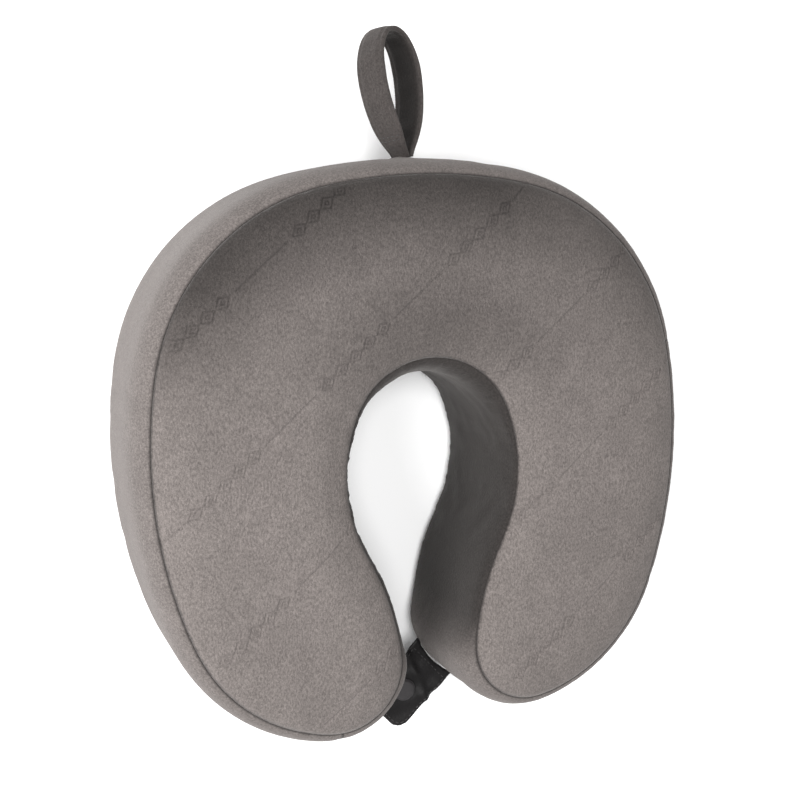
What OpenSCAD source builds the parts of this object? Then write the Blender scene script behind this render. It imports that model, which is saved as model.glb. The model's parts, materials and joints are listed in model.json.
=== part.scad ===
// U-shaped memory-foam travel pillow in a zipped velour cover, with a hang loop at the crown and
// two snap tabs between the tips of its arms. It lies on its back panel: +Z points out of the front
// panel and +Y towards the crown. All lengths are in millimetres and all turns are in degrees.

/* [Outline: tangent arcs from the crown to the neck hole] */
// Radius of the crown
crown_r = 280; // [270:1:290]
// Turn of half the crown
crown_turn = 11; // [10:0.5:12]
// Radius of the shoulder
shoulder_r = 110.5; // [109:0.5:112]
// Turn of the shoulder
shoulder_turn = 68; // [67:0.5:69]
// Radius of the long outer side, which carries the zip
side_r = 246; // [240:1:252]
// Turn of the long outer side
side_turn = 32; // [31:0.5:33]
// Radius of the lower outer side
lower_r = 89.5; // [88:0.5:91]
// Radius of the tip of an arm
tip_r = 34.5; // [34:0.5:35]
// Turn of the lower outer side
lower_turn = 59; // [58:0.5:60]
// Turn of the inner half of the tip
toe_turn = 96; // [95.5:0.5:96.5]
// Radius of the arm's inner side
inner_r = 148; // [144:1:152]
// Turn of the arm's inner side
inner_turn = 22; // [21.5:0.5:22.5]
// Radius of the side of the neck hole
neck_side_r = 84; // [84:0.5:86]
// Radius of the top of the neck hole
neck_top_r = 44; // [42:0.5:44]

/* [Thickness] */
// Width of the gusset, from the back seam to the front seam
gusset_w = 88; // [80:1:96]
// Height of the gusset's crown beyond the seams
bulge = 8; // [4:0.5:9]
// Height of the front panel's dome above its seam
front_dome = 7; // [4:0.5:9]
// Height of the back panel's dome, flattened where it rests
back_dome = 4.5; // [3:0.5:6]
// Distance from the seam over which a panel's dome rises
dome_run = 28; // [24:1:30]
// Thickness of the velour
cloth_t = 1.6; // [1:0.1:1.8]
// Thickness of the inner liner
liner_t = 0.8; // [0.5:0.1:0.9]

/* [Zip] */
// Half the gap between the two gusset strips beside the zip
zip_gap = 4.6; // [4.4:0.1:5.5]
// Width of each zip tape
tape_w = 12; // [10:0.5:16]
// Length of the slider
slider_l = 9; // [8:0.5:11]
// Length of the pull tab from its hinge
pull_l = 21; // [16:1:26]

/* [Hang loop] */
// Length of the loop from the gusset to its top
loop_l = 66; // [50:1:80]
// Half the width that the loop opens to
loop_open = 14; // [10:0.5:16]
// Width of the folded strip
loop_w = 20; // [15:1:24]
// Thickness of the folded strip
loop_t = 2.6; // [1.8:0.2:3]
// Turn of the strip about the loop's length
loop_twist = 25; // [0:5:30]
// Lean of the loop to the left
loop_lean = 8; // [0:1:10]
// Distance of the loop to the right of the middle
loop_x = 5; // [0:1:10]

/* [Snap tabs] */
// Width of each tab
tab_w = 33; // [26:1:35]
// Length of each tab beyond the gusset
tab_l = 43; // [38:1:46]
// Thickness of each tab
tab_t = 1.8; // [1.2:0.1:2]
// Radius of the corners of a tab's free end
tab_corner_r = 9; // [4:1:12]
// Diameter of the snap's cap
cap_d = 13; // [11:0.5:15]

/* [Hidden] */

velour = [0.55, 0.51, 0.49];
velour_dark = [0.45, 0.42, 0.40];
thread_colour = [0.38, 0.35, 0.34];
tape_colour = [0.30, 0.28, 0.27];
foam_colour = [0.93, 0.90, 0.80];
liner_colour = [0.90, 0.90, 0.88];
strap_colour = [0.16, 0.15, 0.15];
plastic = [0.23, 0.22, 0.22];
gunmetal = [0.35, 0.35, 0.36];

// Heights of the seams and of the middle of the gusset
back_seam_z = back_dome;
front_seam_z = back_dome + gusset_w;
middle_z = (back_seam_z + front_seam_z) / 2;

// Depths of the layers under the cover's surface
tape_depth = cloth_t + 0.2;
tape_t = 0.6;
liner_depth = tape_depth + tape_t + 0.6;
foam_depth = liner_depth + liner_t + 0.4;

// A seam's edges stay this far apart
seam_gap = 0.1;
// Moving pieces stay this far from fixed ones
clearance = 0.3;
loop_gap = 1.2;
tab_gap = 1.2;

// --- Outline -----------------------------------------------------------------------------------
// The outline runs clockwise from the crown. Where its heading is h the outward normal is
// [sin h, cos h], so a point is its arc's centre plus the radius along the normal. The two arcs of
// the neck hole curve the other way, so their radii are negative.
heel_turn = 180 - crown_turn - shoulder_turn - side_turn - lower_turn;
outer_arcs = [[crown_r, crown_turn], [shoulder_r, shoulder_turn], [side_r, side_turn],
    [lower_r, lower_turn], [tip_r, heel_turn], [tip_r, toe_turn], [inner_r, inner_turn]];
CROWN = 0;
SHOULDER = 1;
SIDE = 2;
LOWER = 3;
HEEL = 4;
TOE = 5;
NECK_SIDE = 7;
NECK_TOP = 8;
max_turn = 10;
max_step = 22;

function normal(h) = [sin(h), cos(h)];
function outer_heading(i) = i == 0 ? 0 : outer_heading(i - 1) + outer_arcs[i - 1][1];
function outer_centre(i) = i == 0 ? [0, -crown_r]
    : outer_centre(i - 1) + (outer_arcs[i - 1][0] - outer_arcs[i][0]) * normal(outer_heading(i));

neck_heading = outer_heading(NECK_SIDE - 1) + inner_turn;
neck_side_centre = outer_centre(NECK_SIDE - 1) + (inner_r + neck_side_r) * normal(neck_heading);
neck_rise = sqrt((neck_side_r - neck_top_r) ^ 2 - neck_side_centre.x ^ 2);
neck_top_heading = 180 + atan2(-neck_side_centre.x, neck_rise);

// The lowest point of the tips and the highest of the crown's seam, before the origin is set
tip_y = outer_centre(TOE).y - tip_r;
crown_y = -tip_y;

// The origin is on the resting plane, in the middle of the neck hole where it is widest
origin_y = neck_side_centre.y - tip_y;
loop_base_y = crown_y + bulge + loop_gap;

// Each tab leaves its round tip straight towards the snap
snap_xy = [4, -9];
right_tip = outer_centre(TOE) - [0, tip_y];
left_tip = [-right_tip.x, right_tip.y];
function tab_root(tip) = tip + (tip_r + bulge + tab_gap) * (snap_xy - tip) / norm(snap_xy - tip);
right_root = tab_root(right_tip);
left_root = tab_root(left_tip);
tab_turn_right = atan2(snap_xy.y - right_root.y, snap_xy.x - right_root.x);
tab_turn_left = atan2(snap_xy.y - left_root.y, snap_xy.x - left_root.x);

// Every arc as [signed radius, centre, first heading, last heading]
arcs = [for (i = [0:8]) i < NECK_SIDE
    ? [outer_arcs[i][0], outer_centre(i), outer_heading(i), outer_heading(i) + outer_arcs[i][1]]
    : i == NECK_SIDE ? [-neck_side_r, neck_side_centre, neck_heading, neck_top_heading]
    : [-neck_top_r, [0, neck_side_centre.y + neck_rise], neck_top_heading, 180]];

function arc_centre(i) = arcs[i][1] - [0, tip_y + origin_y];
function steps(arc) = max(1, ceil(abs(arc[3] - arc[2]) / max_turn),
    ceil(abs(arc[0] * (arc[3] - arc[2])) * PI / 180 / max_step));

// Stations are [point, outward normal]. This gives those from the start of one arc to the end of
// another, on the right-hand half.
function stations(first, last) = [for (i = [first:last], k = [0:steps(arcs[i]) - (i < last ? 1 : 0)])
    let (h = arcs[i][2] + (arcs[i][3] - arcs[i][2]) * k / steps(arcs[i]))
    [arc_centre(i) + arcs[i][0] * normal(h), normal(h)]];
function mirrored(run) = [for (k = [len(run) - 1:-1:0]) [for (v = run[k]) [-v.x, v.y]]];
function after_first(run) = [for (k = [1:len(run) - 1]) run[k]];
function without_ends(run) = [for (k = [1:len(run) - 2]) run[k]];

whole_outline = let (half = stations(CROWN, NECK_TOP)) concat(half, without_ends(mirrored(half)));

// --- Solids swept along the outline ------------------------------------------------------------
// A row is the list of [outward offset, height] points at one station, or one such point carried
// round a whole run of stations.
function across(station, section) = [for (q = section)
    [each station[0] + q[0] * station[1], q[1]]];
function around(run, q) = [for (s = run) [each s[0] + q[0] * s[1], q[1]]];

// A cap is a strip of triangles between pairs of points that face each other across it
function cap(pairs) = [for (k = [0:len(pairs) - 2])
    each [[pairs[k][0], pairs[k + 1][0], pairs[k + 1][1]], [pairs[k][0], pairs[k + 1][1], pairs[k][1]]]];
function whole(triangles) = [for (t = triangles) if (t[0] != t[1] && t[1] != t[2] && t[2] != t[0]) t];
function raised(triangles, by) = [for (t = triangles) [t[0] + by, t[2] + by, t[1] + by]];

// A solid skin over rows of points, each a closed ring. Its ends are capped across the pairs, and
// with no pairs the last row joins the first.
module skin(rows, pairs = []) {
    n = len(rows[0]);
    m = len(rows);
    sides = [for (i = [0:len(pairs) == 0 ? m - 1 : m - 2], j = [0:n - 1])
        let (a = i * n + j, b = i * n + (j + 1) % n)
        let (c = (i + 1) % m * n + j, d = (i + 1) % m * n + (j + 1) % n)
        each [[a, d, b], [a, c, d]]];
    ends = len(pairs) == 0 ? [] : whole(cap(pairs));
    polyhedron(points = [for (row = rows) each row],
        faces = concat(sides, ends, raised(ends, (m - 1) * n)));
}

// A closed section swept along a run of stations, with flat ends. The section lists its outer side
// and then its inner side backwards.
module band(run, section) skin([for (s = run) across(s, section)],
    [for (k = [0:len(section) / 2 - 1]) [k, len(section) - 1 - k]]);

// A closed section swept round the whole outline
module hoop(section) skin([for (s = whole_outline) across(s, section)]);

// Rings round the whole outline, stacked from a flat lower face to a flat upper one. Each cap joins
// the outer side of the arms to their inner side.
module shell(rings) let (n = len(whole_outline), quarter = floor(n / 4))
    skin([for (q = rings) around(whole_outline, q)],
        [for (k = [-quarter:quarter]) [(k + n) % n, (n / 2 - k) % n]]);

// --- Profiles ----------------------------------------------------------------------------------
// How far the cover's surface stands out beyond the seams at a height. The gusset is flat over most
// of its width and turns in near its seams.
bulge_power = 6;
function bulge_at(z) = bulge * (1 - abs((z - middle_z) / (gusset_w / 2)) ^ bulge_power);
// Height of a panel's dome at a distance in from its seam
dome_power = 2.2;
function dome_at(inset, height) = height * (1 - (1 - inset / dome_run) ^ dome_power);
insets = [dome_run, 14, 6, 2];
// Levels of the gusset's points, as shares of half its width
shares = [-0.94, -0.8, -0.5, 0, 0.5, 0.8, 0.94];
min_rise = 1;

// Rings of a layer at a depth under the cover's surface, ordered from the middle outwards
function back_rings(depth) = [for (d = insets)
    [-max(d, depth), back_seam_z - dome_at(d, back_dome) + depth]];
function front_rings(depth) = [for (d = insets)
    [-max(d, depth), front_seam_z + dome_at(d, front_dome) - depth]];
function side_rings(depth, from, to) = [for (s = shares) if (s >= from && s <= to)
    let (z = middle_z + s * gusset_w / 2) [bulge_at(z) - depth, z]];
function reversed(list) = [for (k = [len(list) - 1:-1:0]) list[k]];

// Section of a gusset strip between two heights, one velour thick
function strip_section(low, high) = let (
    inner_zs = [for (s = shares) let (z = middle_z + s * gusset_w / 2)
        if (z > low + min_rise && z < high - min_rise) z],
    zs = concat([low], inner_zs, [high]))
    concat([for (z = zs) [bulge_at(z), z]], [for (z = reversed(zs)) [bulge_at(z) - cloth_t, z]]);
strip_low = back_seam_z + cloth_t + seam_gap;
strip_high = front_seam_z - cloth_t - seam_gap;

// --- Foam, liner and cover ---------------------------------------------------------------------
module foam_core() color(foam_colour)
    shell(concat(back_rings(foam_depth), side_rings(foam_depth, -0.8, 0.8),
        reversed(front_rings(foam_depth))));

// Half of the thin sock round the foam, from the middle of the gusset to a panel
module liner_back() color(liner_colour)
    shell(concat(back_rings(liner_depth), side_rings(liner_depth, -0.8, -0.5),
        [[bulge - liner_depth, middle_z - seam_gap]],
        [[bulge - liner_depth - liner_t, middle_z - seam_gap]],
        reversed(concat(back_rings(liner_depth + liner_t),
            side_rings(liner_depth + liner_t, -0.8, -0.5)))));

module liner_front() color(liner_colour)
    shell(concat(front_rings(liner_depth + liner_t),
        reversed(side_rings(liner_depth + liner_t, 0.5, 0.8)),
        [[bulge - liner_depth - liner_t, middle_z + seam_gap]],
        [[bulge - liner_depth, middle_z + seam_gap]],
        reversed(concat(front_rings(liner_depth),
            reversed(side_rings(liner_depth, 0.5, 0.8))))));

module cover_back_panel() color(velour)
    shell(concat(back_rings(0), [[0, back_seam_z]], [[0, back_seam_z + cloth_t]],
        reversed(back_rings(cloth_t))));

module cover_front_panel() color(velour)
    shell(concat(front_rings(cloth_t), [[0, front_seam_z - cloth_t]], [[0, front_seam_z]],
        reversed(front_rings(0))));

// The outer strip runs from the left tip over the crown to the upper end of the zip
module outer_gusset() color(velour_dark)
    band(concat(mirrored(stations(CROWN, HEEL)), after_first(stations(CROWN, SHOULDER))),
        strip_section(strip_low, strip_high));

// The inner strip runs from the lower end of the zip round both tips and the neck hole
module inner_gusset() color(velour_dark)
    band(concat(stations(LOWER, NECK_TOP), after_first(mirrored(stations(TOE, NECK_TOP)))),
        strip_section(strip_low, strip_high));

// Seam thread lying in the groove between a panel's edge and the gusset
thread_foot = 0.1;
thread_out = 0.8;
thread_half = 0.4;
thread_inset = 0.9;
module seam_thread(z) color(thread_colour)
    hoop([[thread_foot, z - thread_half], [thread_out, z], [thread_foot, z + thread_half]]);
module back_seam_thread() seam_thread(back_seam_z + thread_inset);
module front_seam_thread() seam_thread(front_seam_z - thread_inset);

// --- Zip ---------------------------------------------------------------------------------------
// The zip follows the long outer side, so every piece of it turns about that arc's centre
zip_start = outer_heading(SIDE);
zip_end = zip_start + side_turn;
tape_gap = 0.8;
coil_w = 1.5;
coil_t = 1.4;
coil_foot = bulge - tape_depth + seam_gap;
stop_l = 2.4;
stop_w = 3.6;
stop_t = 1.6;
// Turns from the zip's ends to the stops, and from there to the ends of the coils
stop_margin = 1;
coil_margin = 0.7;
plate_t = 0.9;
plate_foot = coil_foot + coil_t + clearance;
slider_w = 7.2;
flange_w = 1.4;
flange_foot = coil_foot + 0.2;
ear_gap = 2.4;
ear_t = 0.8;
ear_l = 2.8;
pin_r = 0.5;
pin_clearance = 0.08;
pin_offset = plate_foot + plate_t + 1.2;
barrel_r = 1;
barrel_h = ear_gap - 2 * 0.15;
pull_t = 0.9;
pull_r = 3;
pull_neck_l = 3.6;
slot_start = 9;
slot_r = 1.2;
// Heading at which the slider is parked, just below the top stop
slider_turn = slider_l / (side_r + bulge) * 180 / PI;
slider_heading = zip_start + stop_margin + coil_margin + slider_turn / 2;

// Revolves a section of [distance from the outline, height] points between two headings
module about_side(from, to) translate([arc_centre(SIDE).x, arc_centre(SIDE).y, 0])
    rotate([0, 0, 90 - to]) rotate_extrude(angle = to - from, $fn = 240)
    translate([side_r, 0]) children();

// Puts a piece at a heading on the zip: X points out of the gusset and Y towards the crown
module on_zip(heading) translate([arc_centre(SIDE).x, arc_centre(SIDE).y, middle_z])
    rotate([0, 0, 90 - heading]) translate([side_r, 0, 0]) children();

module zip_strip(low, high) color(velour_dark)
    about_side(zip_start, zip_end) polygon(strip_section(low, high));
module zip_strip_back() zip_strip(strip_low, middle_z - zip_gap);
module zip_strip_front() zip_strip(middle_z + zip_gap, strip_high);

module zip_tape(low) color(tape_colour) about_side(zip_start, zip_end)
    translate([bulge - tape_depth - tape_t, low]) square([tape_t, tape_w]);
module zip_tape_back() zip_tape(middle_z - tape_gap - tape_w);
module zip_tape_front() zip_tape(middle_z + tape_gap);

module zip_coil(low) color(tape_colour)
    about_side(zip_start + stop_margin + coil_margin, zip_end - stop_margin - coil_margin)
    translate([coil_foot, low]) square([coil_t, coil_w]);
module zip_coil_back() zip_coil(middle_z - seam_gap - coil_w);
module zip_coil_front() zip_coil(middle_z + seam_gap);

// A stop holds both tapes together at an end of the coils
module zip_stop(heading) color(gunmetal) on_zip(heading)
    translate([coil_foot, -stop_l / 2, -stop_w / 2]) cube([stop_t, stop_l, stop_w]);
module zip_top_stop() zip_stop(zip_start + stop_margin);
module zip_bottom_stop() zip_stop(zip_end - stop_margin);

// The slider's plate and flanges straddle the coils, and its two ears hold the pull tab's pin
module zip_slider() color(gunmetal) {
    about_side(slider_heading - slider_turn / 2, slider_heading + slider_turn / 2) {
        translate([plate_foot, middle_z - slider_w / 2]) square([plate_t, slider_w]);
        for (z = [middle_z - slider_w / 2, middle_z + slider_w / 2 - flange_w])
            translate([flange_foot, z]) square([plate_foot + plate_t / 2 - flange_foot, flange_w]);
    }
    on_zip(slider_heading) {
        for (z = [-ear_gap / 2 - ear_t, ear_gap / 2])
            translate([plate_foot + plate_t / 2, -ear_l / 2, z])
            cube([pin_offset - plate_foot + pin_r, ear_l, ear_t]);
        translate([pin_offset, 0, -ear_gap / 2 - ear_t])
            cylinder(r = pin_r, h = ear_gap + 2 * ear_t, $fn = 48);
    }
}

// The pull tab lies along the zip away from the crown
module zip_pull_tab() color(gunmetal) on_zip(slider_heading) translate([pin_offset, 0, 0])
    difference() {
        union() {
            translate([0, 0, -barrel_h / 2]) cylinder(r = barrel_r, h = barrel_h, $fn = 48);
            translate([-pull_t / 2, -pull_neck_l, -barrel_h / 2]) cube([pull_t, pull_neck_l, barrel_h]);
            rotate([90, 0, 90]) linear_extrude(pull_t, center = true) pull_outline();
        }
        translate([0, 0, -ear_gap]) cylinder(r = pin_r + pin_clearance, h = 2 * ear_gap, $fn = 48);
    }

// A tapered tab with a round end and a slot
module pull_outline() difference() {
    hull() {
        translate([-pull_neck_l, 0]) square([1, pull_r], center = true);
        translate([pull_r - pull_l, 0]) circle(r = pull_r, $fn = 48);
    }
    hull() for (x = [-slot_start, pull_r - pull_l]) translate([x, 0]) circle(r = slot_r, $fn = 32);
}

// --- Hang loop ---------------------------------------------------------------------------------
// The loop's middle line is a drop whose two ends meet in a round foot at the gusset
loop_steps = 40;
loop_half_turn = 160;
drop_power = 0.8;
drop_swell = 1.3;
bartack_turns = [for (k = [1, 2]) loop_half_turn * (2 * k / loop_steps - 1)];
bartack_out = 1.25;
function drop(a) = [drop_swell * loop_open * sin(a) * cos(a / 2) ^ drop_power,
    loop_l * (1 + cos(a)) / 2];
function drop_normal(a) = let (v = drop(a + 1) - drop(a - 1)) [v.y, -v.x] / norm(v);
function beside(a, share) = drop(a) + share * loop_t / 2 * drop_normal(a);
function loop_side(share) = [for (k = [-1:2 / loop_steps:1])
    let (p = beside(loop_half_turn * k, share)) [p.x, max(p.y, loop_t)]];

// Stands the loop on the crown, turned and leaning as it is sewn in
module at_loop() translate([loop_x, loop_base_y - origin_y, middle_z])
    rotate([0, 0, loop_lean]) rotate([0, loop_twist, 0]) children();

module hang_loop() color(velour_dark) at_loop() linear_extrude(loop_w, center = true) {
    polygon(concat(loop_side(1), reversed(loop_side(-1))));
    translate([0, loop_t]) circle(r = loop_t, $fn = 48);
    translate([-loop_t, loop_t]) square([2 * loop_t, loop_t]);
}

// A short row of thread across the outside of each sewn end
module hang_loop_bartack() color(thread_colour) at_loop() for (side = [0, 1])
    mirror([side, 0, 0]) linear_extrude(loop_w - 4, center = true)
    polygon([each [for (a = bartack_turns) beside(a, -1)],
        each [for (a = reversed(bartack_turns)) beside(a, -bartack_out)]]);

// --- Snap tabs ---------------------------------------------------------------------------------
// The right tab lies over the left one, and the snap joins them where they cross
left_tab_z = 22.4;
tab_space = 2.4;
right_tab_z = left_tab_z + tab_t + tab_space;
stitch_inset = 2.4;
stitch_w = 0.6;
stitch_h = 0.3;
stud_r = 2.2;
socket_r = 5.4;
snap_gap = 0.35;
flange_t = 0.6;
socket_t = tab_space - flange_t - clearance;
socket_depth = 1.2;
stud_h = 1.7;
post_t = 1;
cap_t = 2;

// Puts a piece at the root of a tab, with X along the tab
module at_right_tab(z) translate([right_root.x, right_root.y - origin_y, z])
    rotate([0, 0, tab_turn_right]) children();
module at_left_tab(z) translate([left_root.x, left_root.y - origin_y, z])
    rotate([0, 0, tab_turn_left]) children();
module at_snap(z) translate([snap_xy.x, snap_xy.y - origin_y, z]) children();

// A strip with two round corners at its free end, drawn inset from its edges
module tab_outline(inset = 0) hull() {
    translate([inset, inset - tab_w / 2]) square([1, tab_w - 2 * inset]);
    for (side = [-1, 1])
        translate([tab_l - tab_corner_r, side * (tab_w / 2 - tab_corner_r)])
        circle(r = tab_corner_r - inset, $fn = 48);
}

// A tab of woven strap with a round hem at its root, about which it turns
module tab() {
    linear_extrude(tab_t) tab_outline();
    translate([0, 0, tab_t / 2]) rotate([90, 0, 0])
        cylinder(r = tab_t / 2, h = tab_w, center = true, $fn = 48);
}

// One line of raised stitching along a tab's edges
module tab_stitching() color(thread_colour) linear_extrude(stitch_h) difference() {
    tab_outline(stitch_inset);
    tab_outline(stitch_inset + stitch_w);
}

module right_tab() color(strap_colour) at_right_tab(right_tab_z) tab();
module right_tab_stitching() at_right_tab(right_tab_z + tab_t) tab_stitching();
module left_tab() color(strap_colour) at_left_tab(left_tab_z) tab();
module left_tab_stitching() at_left_tab(left_tab_z - stitch_h) tab_stitching();

// Shallow domed cap on the right tab
module snap_cap() color(plastic) at_snap(right_tab_z + tab_t) rotate_extrude($fn = 96)
    polygon([[0, 0], [cap_d / 2, 0], [cap_d / 2, cap_t * 0.4], [cap_d / 2 - 0.8, cap_t * 0.75],
        [cap_d / 2 - 2.4, cap_t], [0, cap_t]]);

// Socket under the right tab, open towards the stud
module snap_socket() color(plastic) at_snap(right_tab_z - socket_t) difference() {
    cylinder(r = socket_r, h = socket_t, $fn = 96);
    translate([0, 0, -1]) cylinder(r = stud_r + snap_gap, h = 1 + socket_depth, $fn = 96);
}

// Stud on the left tab, reaching into the socket
module snap_stud() color(plastic) at_snap(left_tab_z + tab_t) {
    cylinder(r = socket_r, h = flange_t, $fn = 96);
    cylinder(r = stud_r, h = stud_h, $fn = 96);
}

// Back post that holds the stud, on the far face of the left tab
module snap_back_post() color(plastic) at_snap(left_tab_z - post_t)
    cylinder(r = cap_d / 2 - 1, h = post_t, $fn = 96);

foam_core();
liner_back();
liner_front();
cover_back_panel();
cover_front_panel();
outer_gusset();
inner_gusset();
zip_strip_back();
zip_strip_front();
back_seam_thread();
front_seam_thread();
zip_tape_back();
zip_tape_front();
zip_coil_back();
zip_coil_front();
zip_top_stop();
zip_bottom_stop();
zip_slider();
zip_pull_tab();
hang_loop();
hang_loop_bartack();
right_tab();
right_tab_stitching();
left_tab();
left_tab_stitching();
snap_cap();
snap_socket();
snap_stud();
snap_back_post();
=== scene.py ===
"""The looks of a U-shaped memory-foam neck pillow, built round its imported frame.

Lengths are in metres in the frame's own axes. The pillow lies on its back panel: +Z points out of
the front panel, +Y towards the crown and its hang loop, and +X towards the zip.
"""
import json
import math

import bmesh
import bpy
import numpy as np
from mathutils import Matrix, Vector
from mathutils.geometry import delaunay_2d_cdt


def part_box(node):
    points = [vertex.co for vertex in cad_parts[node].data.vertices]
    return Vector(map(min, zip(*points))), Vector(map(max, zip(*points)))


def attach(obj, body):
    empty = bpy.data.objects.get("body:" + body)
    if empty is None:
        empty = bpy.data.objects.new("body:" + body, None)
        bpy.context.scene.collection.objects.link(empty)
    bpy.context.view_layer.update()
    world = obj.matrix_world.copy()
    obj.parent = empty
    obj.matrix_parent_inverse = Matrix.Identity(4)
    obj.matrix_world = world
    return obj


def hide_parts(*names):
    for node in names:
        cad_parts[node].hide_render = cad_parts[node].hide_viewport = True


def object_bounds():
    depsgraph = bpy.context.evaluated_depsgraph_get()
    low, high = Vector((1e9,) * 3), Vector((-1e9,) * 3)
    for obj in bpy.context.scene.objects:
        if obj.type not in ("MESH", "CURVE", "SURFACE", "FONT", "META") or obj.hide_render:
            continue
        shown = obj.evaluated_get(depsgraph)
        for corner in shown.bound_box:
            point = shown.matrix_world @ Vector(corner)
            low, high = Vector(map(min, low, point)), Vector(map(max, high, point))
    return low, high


MM = 0.001

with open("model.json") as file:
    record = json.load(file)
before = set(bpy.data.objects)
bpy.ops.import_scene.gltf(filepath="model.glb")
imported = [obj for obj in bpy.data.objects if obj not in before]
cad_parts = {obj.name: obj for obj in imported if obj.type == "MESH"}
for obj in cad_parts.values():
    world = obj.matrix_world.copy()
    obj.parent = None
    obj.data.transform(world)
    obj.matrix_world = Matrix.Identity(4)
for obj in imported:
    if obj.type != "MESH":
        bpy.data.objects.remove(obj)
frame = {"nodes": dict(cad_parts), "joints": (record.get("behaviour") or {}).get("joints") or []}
nodes = frame["nodes"]
cad_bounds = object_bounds()
joints = {j["name"]: j for j in frame["joints"]}
zip_centre = joints["zip_slide"]["pos_m"]
loop_joint = joints["hang_loop_bend"]


def unit(value):
    """The value held between 0 and 1."""
    return np.clip(value, 0, 1)


def normalised(rows):
    return rows / np.linalg.norm(rows, axis=1)[:, None]


# --- Camera, floor and light ------------------------------
CAMERA_TURN = math.radians(-21.62)
CAMERA_TILT = math.radians(8.36)
CAMERA_ROLL = math.radians(1.78)
CAMERA_DISTANCE = 0.6458
CAMERA_TARGET = Vector((-0.0009, 0.0329, 0.0485))
CAMERA_LENS = 53.4
FLOOR_GAP = 0.3 * MM


def make_camera():
    """The viewpoint is above the front panel, to its left and a little towards the crown."""
    back = Vector((
        math.sin(CAMERA_TURN) * math.cos(CAMERA_TILT),
        math.sin(CAMERA_TILT),
        math.cos(CAMERA_TURN) * math.cos(CAMERA_TILT),
    ))
    right = (-back).cross(Vector((0, 1, 0))).normalized()
    up = back.cross(right)
    turn = Matrix.Rotation(-CAMERA_ROLL, 3, back)
    axes = Matrix((turn @ right, turn @ up, back)).transposed()
    camera = bpy.data.objects.new("camera", bpy.data.cameras.new("camera"))
    camera.data.lens = CAMERA_LENS
    camera.matrix_world = Matrix.Translation(CAMERA_TARGET + CAMERA_DISTANCE * back) @ axes.to_4x4()
    bpy.context.scene.collection.objects.link(camera)
    bpy.context.scene.camera = camera


def area_light(name, place, aim, size, power):
    light = bpy.data.objects.new(name, bpy.data.lights.new(name, "AREA"))
    light.data.shape = "DISK"
    light.data.size = size
    light.data.energy = power
    light.location = place
    light.rotation_euler = (Vector(aim) - Vector(place)).to_track_quat("-Z", "Y").to_euler()
    bpy.context.scene.collection.objects.link(light)


def make_studio():
    world = bpy.data.worlds.new("studio")
    world.use_nodes = True
    sky = world.node_tree.nodes["Background"].inputs
    sky["Color"].default_value = (1, 1, 1, 1)
    sky["Strength"].default_value = 0.5
    bpy.context.scene.world = world
    bpy.context.scene.view_settings.view_transform = "Standard"
    area_light("key", (-0.95, -0.12, 0.86), (0, 0.02, 0.04), 0.7, 20)
    area_light("fill", (-0.28, 0.16, 1.15), (0, 0.02, 0), 0.5, 13)
    bpy.ops.mesh.primitive_plane_add(size=8, location=(0, 0, cad_bounds[0][2] - FLOOR_GAP))
    floor = bpy.context.object
    floor.name = "floor"
    paint = Material("floor_paint", (0.9, 0.9, 0.9), Roughness=0.8, Specular_IOR_Level=0.1)
    floor.data.materials.append(paint.material)


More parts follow.
